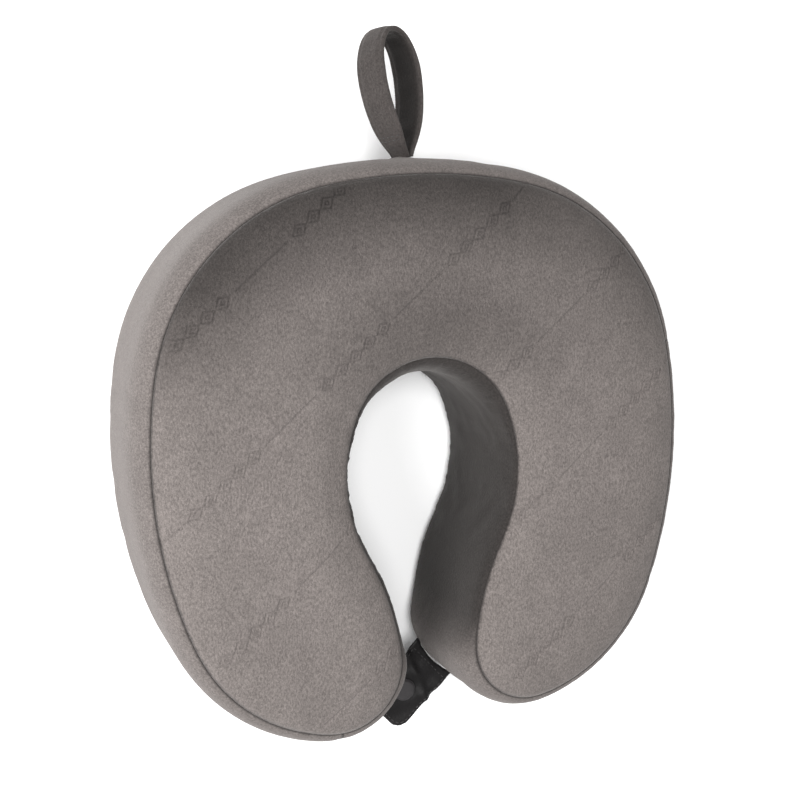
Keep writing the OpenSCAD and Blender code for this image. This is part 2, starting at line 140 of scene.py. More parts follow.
# --- Materials --------------------------------------------
class Material:
    """A Principled material with short calls for the nodes that pattern it."""

    def __init__(self, name, colour, **sockets):
        self.material = bpy.data.materials.new(name)
        self.material.use_nodes = True
        self.tree = self.material.node_tree
        self.shader = self.tree.nodes["Principled BSDF"]
        self.colour = None
        self.height = None
        self.base = (*colour, 1)
        self.shader.inputs["Base Color"].default_value = self.base
        for key, value in sockets.items():
            self.shader.inputs[key.replace("_", " ")].default_value = value
        self.place = self.tree.nodes.new("ShaderNodeTexCoord").outputs["Object"]

    def link(self, a, b):
        self.tree.links.new(a, b)

    def noise(self, stretch, detail, roughness=0.5):
        """Noise with features of 1/stretch metres. The stretch is one number, or one for each axis."""
        mapping = self.tree.nodes.new("ShaderNodeMapping")
        mapping.inputs["Scale"].default_value = (stretch,) * 3 if isinstance(stretch, int) else stretch
        self.link(self.place, mapping.inputs["Vector"])
        node = self.tree.nodes.new("ShaderNodeTexNoise")
        node.inputs["Scale"].default_value = 1
        node.inputs["Detail"].default_value = detail
        node.inputs["Roughness"].default_value = roughness
        self.link(mapping.outputs["Vector"], node.inputs["Vector"])
        return node.outputs["Fac"]

    def waves(self, direction, scale, distortion):
        node = self.tree.nodes.new("ShaderNodeTexWave")
        node.bands_direction = direction
        node.inputs["Scale"].default_value = scale
        node.inputs["Distortion"].default_value = distortion
        self.link(self.place, node.inputs["Vector"])
        return node.outputs["Fac"]

    def attribute(self, name):
        node = self.tree.nodes.new("ShaderNodeAttribute")
        node.attribute_name = name
        return node.outputs["Fac"]

    def math(self, operation, a, b):
        node = self.tree.nodes.new("ShaderNodeMath")
        node.operation = operation
        for socket, value in zip(node.inputs, (a, b)):
            if isinstance(value, (int, float)):
                socket.default_value = value
            else:
                self.link(value, socket)
        return node.outputs["Value"]

    def spread(self, value, low, high, start=0.3, end=0.7):
        """Carries a value from start..end over to low..high."""
        node = self.tree.nodes.new("ShaderNodeMapRange")
        self.link(value, node.inputs["Value"])
        for key, number in zip(("From Min", "From Max", "To Min", "To Max"), (start, end, low, high)):
            node.inputs[key].default_value = number
        return node.outputs["Result"]

    def shade(self, factor):
        """Multiplies the colour by a factor."""
        node = self.tree.nodes.new("ShaderNodeVectorMath")
        node.operation = "SCALE"
        if self.colour is None:
            node.inputs[0].default_value = self.base[:3]
        else:
            self.link(self.colour, node.inputs[0])
        self.link(factor, node.inputs["Scale"])
        self.colour = node.outputs["Vector"]
        self.link(self.colour, self.shader.inputs["Base Color"])

    def bump(self, value, height, strength=1.0):
        """Raises the surface by up to height metres."""
        node = self.tree.nodes.new("ShaderNodeBump")
        node.inputs["Strength"].default_value = strength
        node.inputs["Distance"].default_value = height
        self.link(value, node.inputs["Height"])
        if self.height is not None:
            self.link(self.height, node.inputs["Normal"])
        self.height = node.outputs["Normal"]
        self.link(self.height, self.shader.inputs["Normal"])


def velour(name, colour, streak):
    """Short-pile velour: cloudy where the nap lies differently, with a fine grain of pile.

    streak gives the grain's features per metre along each axis, so the pile can lie one way.
    """
    m = Material(name, colour, Roughness=0.95, Specular_IOR_Level=0.12, Sheen_Weight=0.12,
                 Sheen_Roughness=0.5, Sheen_Tint=(1.0, 0.95, 0.92, 1))
    m.shade(m.spread(m.noise(24, 3), 0.95, 1.05))
    m.shade(m.spread(m.noise((110, 80, 110), 3), 0.95, 1.05))
    grain = m.noise(streak, 2, 0.65)
    m.shade(m.spread(grain, 0.70, 1.30))
    m.shade(m.spread(m.noise(2300, 1), 0.80, 1.20))
    # The nap attribute darkens the colour: the pile's dark seam lines and pressed pattern, and painted shade
    # inside the neck hole, under the crown and inside the hang loop
    m.shade(m.spread(m.attribute("nap"), 1.0, 0.0, 0.0, 1.0))
    m.bump(grain, 0.4 * MM, 0.6)
    m.bump(m.noise((2600, 2200, 2600), 1), 0.2 * MM, 0.5)
    return m.material


def strap(name, colour):
    """Dark napped strap with a soft shine where it creases."""
    m = Material(name, colour, Roughness=0.55, Specular_IOR_Level=0.22, Sheen_Weight=0.06,
                 Sheen_Roughness=0.4)
    m.shade(m.spread(m.noise(60, 3), 0.7, 1.35))
    grain = m.noise(1100, 2)
    m.shade(m.spread(grain, 0.75, 1.3))
    m.bump(grain, 0.25 * MM, 0.5)
    m.bump(m.noise(170, 2), 0.9 * MM, 0.5)
    return m.material


def thread(name, colour):
    m = Material(name, colour, Roughness=0.7, Sheen_Weight=0.2)
    m.shade(m.spread(m.noise(700, 1), 0.7, 1.2))
    m.bump(m.noise(3000, 1), 0.1 * MM)
    return m.material


def tape(name, colour):
    """Herringbone zip tape."""
    m = Material(name, colour, Roughness=0.85, Sheen_Weight=0.2)
    ribs = m.waves("DIAGONAL", 900, 1.5)
    m.shade(m.spread(ribs, 0.8, 1.15, 0, 1))
    m.bump(ribs, 0.15 * MM)
    return m.material


def moulded(name, colour, roughness):
    m = Material(name, colour, Roughness=roughness, Specular_IOR_Level=0.5)
    m.shade(m.spread(m.noise(300, 2), 0.9, 1.1))
    m.bump(m.noise(1500, 2), 0.03 * MM)
    return m.material


def metal(name, colour):
    m = Material(name, colour, Metallic=1.0, Roughness=0.34)
    m.shade(m.spread(m.noise((400, 90, 400), 3), 0.85, 1.15))
    m.bump(m.noise((900, 120, 900), 2), 0.02 * MM)
    return m.material


def foam(name, colour):
    m = Material(name, colour, Roughness=0.95, Specular_IOR_Level=0.1)
    cells = m.noise(900, 3)
    m.shade(m.spread(cells, 0.85, 1.08))
    m.bump(cells, 0.5 * MM)
    return m.material


def knit(name, colour):
    m = Material(name, colour, Roughness=0.9, Sheen_Weight=0.2)
    loops = m.math("MULTIPLY", m.waves("X", 500, 0.6), m.waves("Z", 420, 0.6))
    m.shade(m.spread(loops, 0.8, 1.05, 0, 1))
    m.bump(loops, 0.2 * MM)
    return m.material


# --- The seams' line, read from the frame -----------------
CLOTH = 1.6 * MM
SEAM_COUNT = 264


def seam_ring(node):
    """The points of a panel's seam, in order, clockwise from the crown."""
    points = np.array([v.co for v in nodes[node].data.vertices])
    lowest = points[points[:, 2] < points[:, 2].min() + 0.01 * MM]
    ring = np.unique(lowest[:, :2].round(7), axis=0)
    here = int(np.argmax(ring[:, 1] - 10 * abs(ring[:, 0])))
    order = [here]
    left = set(range(len(ring))) - {here}
    while left:
        far = {i: np.hypot(*(ring[i] - ring[here])) for i in left if len(order) > 1 or ring[i][0] > 0}
        here = min(far, key=far.get)
        order.append(here)
        left.remove(here)
    return ring[order]


def closed_spline(knots, count):
    """Evenly spaced points on the smooth closed curve through knots."""
    n = len(knots)
    h = np.linalg.norm(np.roll(knots, -1, 0) - knots, axis=1)
    slopes = (np.roll(knots, -1, 0) - knots) / h[:, None]
    grid = np.zeros((n, n))
    for i in range(n):
        grid[i, i - 1] += h[i - 1] / 6
        grid[i, i] += (h[i - 1] + h[i]) / 3
        grid[i, (i + 1) % n] += h[i] / 6
    bends = np.linalg.solve(grid, slopes - np.roll(slopes, 1, 0))
    start = np.concatenate([[0], np.cumsum(h)])

    def at(s):
        i = np.clip(np.searchsorted(start, s, "right") - 1, 0, n - 1)
        j = (i + 1) % n
        b = ((s - start[i]) / h[i])[:, None]
        a = 1 - b
        lift = ((a ** 3 - a) * bends[i] + (b ** 3 - b) * bends[j]) * (h[i] ** 2 / 6)[:, None]
        return a * knots[i] + b * knots[j] + lift

    fine = at(np.linspace(0, start[-1], 20 * n, endpoint=False))
    steps = np.linalg.norm(np.roll(fine, -1, 0) - fine, axis=1)
    run = np.concatenate([[0], np.cumsum(steps)])
    even = np.linspace(0, run[-1], count, endpoint=False)
    return at(np.interp(even, run, np.linspace(0, start[-1], 20 * n + 1)))


def outward(line):
    """Unit outward normals of a clockwise closed line."""
    along = normalised(np.roll(line, -1, 0) - np.roll(line, 1, 0))
    return np.stack([-along[:, 1], along[:, 0]], axis=1)


seam = closed_spline(seam_ring("cover_front_panel"), SEAM_COUNT)
seam_normal = outward(seam)
seam_length = np.linalg.norm(np.roll(seam, -1, 0) - seam, axis=1).sum()
front_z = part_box("cover_front_panel")[0].z + CLOTH
middle_z = zip_centre[2]
back_z = 2 * middle_z - front_z
front_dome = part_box("cover_front_panel")[1].z - front_z
gusset_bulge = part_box("outer_gusset")[1].y - seam[:, 1].max()


def innermost(side):
    """The place on the seam of one arm that comes closest to the middle."""
    on_arm = (seam[:, 1] < 0) & (side * seam[:, 0] > 0)
    return int(np.argmin(np.where(on_arm, abs(seam[:, 0]), 9.0)))


# The gusset is full outside, round the tips and at the top of the neck hole, and lies almost flat
# between the arms
INNER_FLATNESS = 0.8
INNER_START = 10 * MM
INNER_RUN = 24 * MM
NECK_TOP_FULL = 15 * MM
NECK_TOP_RUN = 70 * MM


def eased(share):
    """The same share of the way, with a soft start and end."""
    share = unit(share)
    return share ** 2 * (3 - 2 * share)


station = np.arange(SEAM_COUNT) * seam_length / SEAM_COUNT
into_inner = np.minimum(station - station[innermost(1)], station[innermost(-1)] - station)
from_neck_top = abs(station - seam_length / 2)
fullness = 1 - (INNER_FLATNESS * eased((into_inner + INNER_START) / INNER_RUN)
                * eased((from_neck_top - NECK_TOP_FULL) / NECK_TOP_RUN))


def along_seam(values, place):
    """Values given at the seam's points, read at places from 0 to 1 along it."""
    return np.interp(place, np.arange(SEAM_COUNT + 1) / SEAM_COUNT, np.append(values, values[0]))


def from_line(points, line):
    """For each point, its distance in plan from a closed line, and its place along it from 0 to 1."""
    best = np.full(len(points), 9.0)
    place = np.zeros(len(points))
    for i, (a, b) in enumerate(zip(line, np.roll(line, -1, 0))):
        step = b - a
        t = unit((points - a) @ step / (step @ step))
        far = np.linalg.norm(points - a - t[:, None] * step, axis=1)
        near = far < best
        best[near] = far[near]
        place[near] = ((i + t) / len(line))[near]
    return best, place


def inside_seam(points):
    """Which points lie inside the closed seam line."""
    crossings = np.zeros(len(points), int)
    for p, q in zip(seam, np.roll(seam, -1, 0)):
        spans = (p[1] > points[:, 1]) != (q[1] > points[:, 1])
        rise = q[1] - p[1] if q[1] != p[1] else 1e-12
        crossings += spans & (points[:, 0] < p[0] + (points[:, 1] - p[1]) / rise * (q[0] - p[0]))
    return crossings % 2 == 1


def ripple(place, wavelength, seed):
    """Smooth uneven ripples along the seam, about -1 to 1, that join up at the crown."""
    rng = np.random.default_rng(seed)
    cycles = seam_length / wavelength
    total = np.zeros_like(place)
    for share in (0.45, 0.7, 1.0, 1.3, 1.9):
        total += np.sin(2 * np.pi * (round(cycles * share) * place + rng.random())) * rng.uniform(0.6, 1)
    return total / 2.6


# --- The embossed pattern ---------------------------------
# Slanting rows of a lozenge chain and a plain line, one after the other. u runs along a row and v
# across it.
PATTERN_TURN = math.radians(40)
ROW_PITCH = 64 * MM
ROW_START = 13 * MM
MOTIF_PITCH = 89 * MM
MOTIF_LENGTH = 48 * MM
MOTIF_START = 34.5 * MM
MOTIF_DRIFT = -5.5 * MM
LINE_GAP = 3 * MM
LOZENGE = (4.4 * MM, 3.0 * MM)
INNER_LOZENGE = 0.3
LOZENGE_PITCH = 9.6 * MM
STROKE = 0.75 * MM


def pattern_frame(points):
    u = points[:, 0] * math.cos(PATTERN_TURN) + points[:, 1] * math.sin(PATTERN_TURN)
    v = -points[:, 0] * math.sin(PATTERN_TURN) + points[:, 1] * math.cos(PATTERN_TURN)
    row = np.round((v - ROW_START) / ROW_PITCH)
    start = MOTIF_START + MOTIF_DRIFT * row + MOTIF_PITCH / 2 * (row % 2)
    return (u - start) % MOTIF_PITCH, v - ROW_START - row * ROW_PITCH


def pattern_near(points):
    """Which points lie on or close to a stroke."""
    u, v = pattern_frame(points)
    motif = (u < MOTIF_LENGTH + MM) & (abs(v) < LOZENGE[1] + 1.4 * MM)
    line = (u > MOTIF_LENGTH) & (abs(v) < 1.5 * MM)
    return motif | line


def pressed(points):
    """How far the pile is pressed down, from 0 to 1."""
    u, v = pattern_frame(points)
    cell = (u % LOZENGE_PITCH) - LOZENGE_PITCH / 2
    scale = LOZENGE[0] * LOZENGE[1] / math.hypot(*LOZENGE)
    size = abs(cell) / LOZENGE[0] + abs(v) / LOZENGE[1]
    nested = np.minimum(abs(size - 1), abs(size - INNER_LOZENGE)) * scale
    far = np.where(u < MOTIF_LENGTH, nested, 9.0)
    on_line = (u > MOTIF_LENGTH + LINE_GAP) & (u < MOTIF_PITCH - LINE_GAP)
    far = np.where(on_line, abs(v), far)
    return unit((STROKE - far) / (0.85 * STROKE))


# --- The cover's form, swollen by cloth simulation --------
GUSSET_ROWS = 18
FRONT_ROW = GUSSET_ROWS * SEAM_COUNT
HELD = [row + i for row in (0, FRONT_ROW) for i in range(SEAM_COUNT)]
GRID = ROW_PITCH / 13
SWELL = 0.35
DOME_RUN = 28 * MM
DOME_POWER = 2.2
BULGE_POWER = 6
CLOTH_FRAMES = 20
strip_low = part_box("zip_strip_back")[1].z
strip_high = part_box("zip_strip_front")[0].z


def panel_fill():
    """The panels' inner points, on a grid along the pattern, and the faces that fill the seam."""
    turn = np.array([[math.cos(PATTERN_TURN), math.sin(PATTERN_TURN)],
                     [-math.sin(PATTERN_TURN), math.cos(PATTERN_TURN)]])
    steps = np.arange(-60, 61) * GRID
    u, v = np.meshgrid(steps, ROW_START + steps)
    grid = np.stack([u.ravel(), v.ravel()], axis=1) @ turn
    grid = grid[inside_seam(grid)]
    grid = grid[from_line(grid, seam)[0] > 0.55 * GRID]
    ring = list(range(SEAM_COUNT))[::-1]
    made = delaunay_2d_cdt([Vector(p) for p in np.concatenate([seam, grid])], [], [ring], 1, 1e-7)
    source = [ids[0] for ids in made[3]]
    return grid, [[source[i] for i in face] for face in made[2]]


def flat_form():
    """The points of the cover before it swells, and the faces of its two panels and its sides."""
    grid, fill = panel_fill()
    half = GUSSET_ROWS // 2
    rows = np.concatenate([np.linspace(back_z, strip_low, half), [middle_z],
                           np.linspace(strip_high, front_z, half)])
    rings = [np.column_stack([seam, np.full(SEAM_COUNT, z)]) for z in rows]
    top = np.column_stack([grid, np.full(len(grid), front_z)])
    low = np.column_stack([grid, np.full(len(grid), back_z)])
    front = [[i + FRONT_ROW for i in f] for f in fill]
    back = [[i if i < SEAM_COUNT else i + FRONT_ROW + len(grid) for i in f[::-1]] for f in fill]
    sides = []
    for j in range(GUSSET_ROWS):
        for i in range(SEAM_COUNT):
            a, b = j * SEAM_COUNT + i, j * SEAM_COUNT + (i + 1) % SEAM_COUNT
            sides.append([a, a + SEAM_COUNT, b + SEAM_COUNT, b])
    return np.concatenate([*rings, top, low]), front, back, sides


def swell_line():
    """For each point, the direction in which the foam pushes it, how far, and the most it may go."""
    side = FRONT_ROW + SEAM_COUNT
    level = abs(flat_points[:side, 2] - middle_z) / (front_z - middle_z)
    depth = unit(from_line(flat_points[side:, :2], seam)[0] / DOME_RUN)
    in_front = flat_points[side:, 2] > middle_z
    direction = np.zeros_like(flat_points)
    direction[:side, :2] = np.tile(seam_normal, (GUSSET_ROWS + 1, 1))
    direction[side:, 2] = np.where(in_front, 1, -1)
    bulges = np.tile(gusset_bulge * fullness, GUSSET_ROWS + 1)
    most = np.concatenate([bulges, np.where(in_front, front_dome, back_z)])
    share = np.concatenate([1 - level ** BULGE_POWER, 1 - (1 - depth) ** DOME_POWER])
    return direction, most * share, most


def mesh_object(name, points, faces):
    mesh = bpy.data.meshes.new(name)
    mesh.from_pydata([tuple(p) for p in points], [], faces)
    mesh.update()
    made = bpy.data.objects.new(name, mesh)
    bpy.context.scene.collection.objects.link(made)
    return made


def vectors_of(items, name):
    flat = np.empty(len(items) * 3, np.float32)
    items.foreach_get(name, flat)
    return flat.reshape(-1, 3).astype(float)


def points_of(mesh):
    return vectors_of(mesh.vertices, "co")


def set_points(mesh, points):
    mesh.vertices.foreach_set("co", points.astype(np.float32).ravel())
    mesh.update()


def simulate(points, faces):
    """Swells the closed cover by cloth simulation, its seams held, and returns its points."""
    form = mesh_object("form", points, faces)
    held = form.vertex_groups.new(name="seams")
    held.add(HELD, 1.0, "REPLACE")
    cloth = form.modifiers.new("Cloth", "CLOTH")
    cloth.settings.quality = 6
    cloth.settings.mass = 0.25
    cloth.settings.tension_stiffness = 14
    cloth.settings.compression_stiffness = 14
    cloth.settings.shear_stiffness = 6
    cloth.settings.bending_stiffness = 0.4
    cloth.settings.shrink_min = -0.02
    cloth.settings.use_pressure = True
    cloth.settings.uniform_pressure_force = 4
    cloth.settings.effector_weights.gravity = 0
    cloth.settings.vertex_group_mass = "seams"
    cloth.collision_settings.use_collision = False
    scene = bpy.context.scene
    for step in range(1, CLOTH_FRAMES + 1):
        scene.frame_set(step)
    out = points_of(form.evaluated_get(bpy.context.evaluated_depsgraph_get()).to_mesh())
    scene.frame_set(1)
    bpy.data.objects.remove(form)
    return out


def smoothed(values, faces, rounds):
    """Values at the form's points, each averaged with its neighbours again and again."""
    pairs = np.array([(a, b) for f in faces for a, b in zip(f, f[1:] + f[:1])])
    count = np.bincount(pairs.ravel(), minlength=len(values))
    for _ in range(rounds):
        total = (np.bincount(pairs[:, 0], values[pairs[:, 1]], len(values))
                 + np.bincount(pairs[:, 1], values[pairs[:, 0]], len(values)))
        values = 0.5 * values + 0.5 * total / count
    return values


WRINKLE_MOST = 0.28 * MM
SMOOTH_ROUNDS = 6
BLEND_POWER = 6


def over_foam(simulated, faces):
    """The foam keeps the cloth out and holds it back, and the simulation's wrinkles stay on top."""
    swell = np.sum((simulated - flat_points) * direction, axis=1)
    broad = smoothed(swell, faces, SMOOTH_ROUNDS)
    wrinkle = WRINKLE_MOST * np.tanh((swell - broad) / WRINKLE_MOST)
    limited = most * np.tanh(np.maximum(broad, 0) / most)
    reach = (pushed ** BLEND_POWER + limited ** BLEND_POWER) ** (1 / BLEND_POWER)
    reach += wrinkle
    reach[HELD] = 0
    out = flat_points + direction * reach[:, None]
    out[:, 2] = np.maximum(out[:, 2], 0.0)
    return out


flat_points, front_faces, back_faces, side_faces = flat_form()
direction, pushed, most = swell_line()
all_faces = front_faces + back_faces + side_faces
start_points = flat_points + direction * (SWELL * pushed)[:, None]
simulated_points = simulate(start_points, all_faces)
form_points = over_foam(simulated_points, all_faces)


# --- Making pieces ----------------------------------------
def face_outward(piece):
    bm = bmesh.new()
    bm.from_mesh(piece.data)
    bmesh.ops.recalc_face_normals(bm, faces=bm.faces[:])
    bm.to_mesh(piece.data)
    bm.free()


def cover_with(piece, material):
    piece.data.materials.clear()
    piece.data.materials.append(material)


def apply_modifiers(piece):
    made = bpy.data.meshes.new_from_object(
        piece.evaluated_get(bpy.context.evaluated_depsgraph_get()))
    piece.modifiers.clear()
    old = piece.data
    piece.data = made
    bpy.data.meshes.remove(old)
    made.name = piece.name


def subdivide(piece, levels):
    smooth = piece.modifiers.new("smooth", "SUBSURF")
    smooth.levels = levels
    smooth.boundary_smooth = "PRESERVE_CORNERS"
    apply_modifiers(piece)


def cut_piece(name, points, faces, levels, join=False):
    """A piece of the form as its own object, subdivided smoothly."""
    used = sorted({i for face in faces for i in face})
    index = {old: new for new, old in enumerate(used)}
    piece = mesh_object(name, points[used], [[index[i] for i in face] for face in faces])
    if join:
        bm = bmesh.new()
        bm.from_mesh(piece.data)
        bmesh.ops.join_triangles(bm, faces=bm.faces[:], angle_face_threshold=0.6,
                                 angle_shape_threshold=0.9)
        bm.to_mesh(piece.data)
        bm.free()
    if levels:
        subdivide(piece, levels)
    return piece


def refine(piece, wanted, cuts):
    """Divides the faces whose middles are wanted."""
    bm = bmesh.new()
    bm.from_mesh(piece.data)
    chosen = wanted(np.array([f.calc_center_median()[:2] for f in bm.faces]))
    edges = {e for f, on in zip(bm.faces, chosen) if on for e in f.edges}
    bmesh.ops.subdivide_edges(bm, edges=list(edges), cuts=cuts, use_grid_fill=True)
    bm.to_mesh(piece.data)
    bm.free()


def turn_in(piece, depth):
    """Carries a piece's open edges on into the seam, as its seam allowance."""
    bm = bmesh.new()
    bm.from_mesh(piece.data)
    bm.normal_update()
    edges = [e for e in bm.edges if e.is_boundary]
    normals = {tuple(v.co): v.normal.copy() for e in edges for v in e.verts}
    made = bmesh.ops.extrude_edge_only(bm, edges=edges)["geom"]
    for v in made:
        if isinstance(v, bmesh.types.BMVert):
            v.co -= normals[tuple(v.co)] * depth
    bmesh.ops.recalc_face_normals(bm, faces=bm.faces[:])
    bm.to_mesh(piece.data)
    bm.free()


def set_nap_and_shade(piece, values):
    # The attribute holds the pile's dark seam lines and pattern, and painted shade
    attribute = piece.data.attributes.new("nap", "FLOAT", "POINT")
    attribute.data.foreach_set("value", np.asarray(values, np.float32))


def settle(piece, body, material, slot, *replaced):
    """Gives a finished piece its material and body, and hides the CAD nodes it stands for. The slot is not
    used.
    """
    cover_with(piece, material)
    for polygon in piece.data.polygons:
        polygon.use_smooth = True
    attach(piece, body)
    if replaced:
        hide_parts(*replaced)


def ring_faces(first, count, size):
    """The faces between rings of points. The points are numbered ring after ring from first."""
    pairs = [(first + i * size + k, first + i * size + (k + 1) % size)
             for i in range(count - 1) for k in range(size)]
    return [[a, b, b + size, a + size] for a, b in pairs]


def filled_faces(first, count, size):
    """The same faces, with the first and the last ring filled."""
    last = first + (count - 1) * size
    return [*ring_faces(first, count, size), list(range(first, first + size))[::-1],
            list(range(last, last + size))]


def sweep(name, rings):
    """A skin over rings of points, each ring a closed section, with its ends filled."""
    piece = mesh_object(name, np.concatenate(rings), filled_faces(0, len(rings), len(rings[0])))
    face_outward(piece)
    return piece


def tube(name, path, radius, sides):
    """A round strand along a path."""
    path = np.asarray(path)
    along = normalised(np.gradient(path, axis=0))
    hint = np.where(abs(along[:, 2:3]) > 0.8, [[1.0, 0, 0]], [[0, 0, 1.0]])
    a = normalised(np.cross(along, hint))
    b = np.cross(along, a)
    turns = np.arange(sides) * 2 * np.pi / sides
    return sweep(name, [p + radius * (np.cos(turns)[:, None] * u + np.sin(turns)[:, None] * w)
                        for p, u, w in zip(path, a, b)])


STITCH_PITCH = 3.2 * MM
STITCH_L = 2.6 * MM
STITCH_R = 0.24 * MM
STITCH_DIP = 2.4 * STITCH_R
STITCH_END = 0.35
STITCH_SIDES = 6


def stitches(name, line, out, closed=False):
    """A row of lockstitches along a line, each a short strand that dips at both ends."""
    line, out = np.asarray(line), np.asarray(out)
    if closed:
        line, out = np.vstack([line, line[:1]]), np.vstack([out, out[:1]])
    run = np.concatenate([[0], np.cumsum(np.linalg.norm(np.diff(line, axis=0), axis=1))])
    count = max(2, round(run[-1] / STITCH_PITCH))
    along = np.linspace(-0.5, 0.5, 6)
    turns = np.arange(STITCH_SIDES) * 2 * np.pi / STITCH_SIDES
    points, faces = [], []

    def at(values, s):
        return np.stack([np.interp(s, run, values[:, k]) for k in range(3)], axis=-1)

    for i in range(count):
        s = (i + 0.5) * run[-1] / count
        way = at(line, s + 0.2 * MM) - at(line, s - 0.2 * MM)
        way /= np.linalg.norm(way)
        up = at(out, s)
        up /= np.linalg.norm(up)
        across = np.cross(way, up)
        first = len(points)
        for t in along:
            middle = at(line, s + t * STITCH_L) - up * STITCH_DIP * (2 * t) ** 4
            r = STITCH_R * max(STITCH_END, (1 - (2 * t) ** 6) ** 0.5)
            points += [middle + r * (math.cos(a) * up + math.sin(a) * across) for a in turns]
        faces += filled_faces(first, len(along), STITCH_SIDES)
    return mesh_object(name, points, faces)


# --- The studio, and the materials in use -----------------
make_camera()
make_studio()
velour_front = velour("velour_embossed", (0.112, 0.0985, 0.093), (1150, 620, 1150))
velour_plain = velour("velour_plain", (0.105, 0.0925, 0.0875), (950, 950, 950))
# Painted shade: the hang loop's velour is a much darker copy of the cover's velour
velour_loop_shaded = velour("velour_loop_shaded", (0.043, 0.0375, 0.0355), (1000, 700, 1000))
tab_cloth = strap("tab_strap", (0.0052, 0.0046, 0.0048))
thread_dark = thread("seam_thread", (0.022, 0.019, 0.018))
thread_tab = thread("tab_thread", (0.012, 0.0105, 0.0105))
tape_cloth = tape("zip_tape", (0.075, 0.068, 0.064))
coil_plastic = moulded("zip_coil", (0.055, 0.050, 0.048), 0.42)
snap_plastic = moulded("snap_plastic", (0.024, 0.022, 0.023), 0.36)
gunmetal = metal("gunmetal", (0.21, 0.21, 0.22))
foam_cells = foam("memory_foam", (0.72, 0.66, 0.50))
liner_knit = knit("liner_knit", (0.62, 0.61, 0.58))


# --- The cover's seams ------------------------------------
GROOVE_W = 1.9 * MM
GROOVE_IN = 0.8 * MM
SEAM_LINE = 0.8 * MM
SEAM_LINE_RIPPLE = 5 * MM
SEAM_NAP = 0.80
CROSS_GROOVE = 0.35 * MM
ALLOWANCE = 2.5 * MM
# The puckers are deepest round the neck hole, and die out away from the seam
PUCKER = 0.42 * MM
PUCKER_LEAST, PUCKER_MORE = 0.45, 1.3
PUCKER_CENTRE_Y = 10 * MM
PUCKER_RUN = 60 * MM
PUCKER_FADE = 6 * MM
PUCKER_CLEAR = 1.2 * MM
PUCKER_SHORT, PUCKER_LONG = 6 * MM, 19 * MM
from_neck = np.hypot(seam[:, 0], seam[:, 1] - PUCKER_CENTRE_Y)
seam_tightness = PUCKER_LEAST + PUCKER_MORE * unit(1.5 - from_neck / PUCKER_RUN)


def move_in(points, place, inward):
    """Moves points in plan towards the foam, each by its own distance."""
    for axis in (0, 1):
        points[:, axis] -= along_seam(seam_normal[:, axis], place) * inward


def sew(points, distance, place, down, side):
    """Draws the cloth into the groove of a seam and puckers it there."""
    groove = GROOVE_IN * np.exp(-(distance / GROOVE_W) ** 2)
    fade = np.exp(-distance / PUCKER_FADE) * (1 - np.exp(-distance / PUCKER_CLEAR))
    waves = ripple(place, PUCKER_SHORT, 3 if side else 5)
    waves += 0.6 * ripple(place, PUCKER_LONG, 8 if side else 9)
    pucker = PUCKER * along_seam(seam_tightness, place) * waves * fade
    out = points.copy()
    move_in(out, place, groove - (pucker if side else 0))
    out[:, 2] += down * (groove - (0 if side else pucker))
    return out


def seam_shade(distance, place):
    """The pile parts at a seam, so the nap is dark in a thin uneven line along it."""
    width = SEAM_LINE * (1 + 0.3 * ripple(place, SEAM_LINE_RIPPLE, 12))
    return SEAM_NAP * np.exp(-(distance / width) ** 2)


def polar(node):
    """A zip piece's lowest and highest radius, heading and height about the zip's centre."""
    points = points_of(nodes[node].data)
    x, y = points[:, 0] - zip_centre[0], points[:, 1] - zip_centre[1]
    return [(v.min(), v.max()) for v in (np.hypot(x, y), np.arctan2(x, y), points[:, 2])]


def on_zip(radius, heading, z):
    x, y = zip_centre[:2]
    return np.array([x + radius * math.sin(heading), y + radius * math.cos(heading), z])


def seam_index(point):
    return int(np.argmin(np.hypot(*(seam - np.asarray(point)[:2]).T)))


zip_heading = polar("zip_strip_back")[1]
zip_radius = polar("zip_strip_back")[0][1] - gusset_bulge
lowest_x, lowest_y = seam[np.argmin(seam[:, 1])]
cross_seams = sorted([seam_index(on_zip(zip_radius, h, 0)) for h in zip_heading]
                     + [seam_index((-abs(lowest_x), lowest_y))])
zip_first, zip_last, left_tip = cross_seams


def side_piece(name, first, last, low_row, high_row):
    """The gusset's faces from one place on the seam clockwise to another, between two rows."""
    wanted = {i % SEAM_COUNT for i in range(first, last)}
    faces = [f for k, f in enumerate(side_faces)
             if k % SEAM_COUNT in wanted and low_row <= k // SEAM_COUNT < high_row]
    return cut_piece(name, form_points, faces, 2)


# Painted shade inside the neck hole: how dark the gusset facing the middle is drawn at its front seam and at
# its back seam, and how steeply that darkening comes in
INNER_SHADE_FRONT = 0.76
INNER_SHADE_BACK = 0.93
INNER_STEEP = 1.7
NECK_MIDDLE = np.array([0, -30 * MM])
LOOP_TENT = 2.4 * MM
LOOP_TENT_R = 8 * MM
CROWN_Y = 100 * MM
loop_foot = Vector(loop_joint["pos_m"])
to_middle = NECK_MIDDLE - seam
inner_facing = unit(INNER_STEEP * np.sum(seam_normal * to_middle, axis=1) / np.hypot(*to_middle.T))


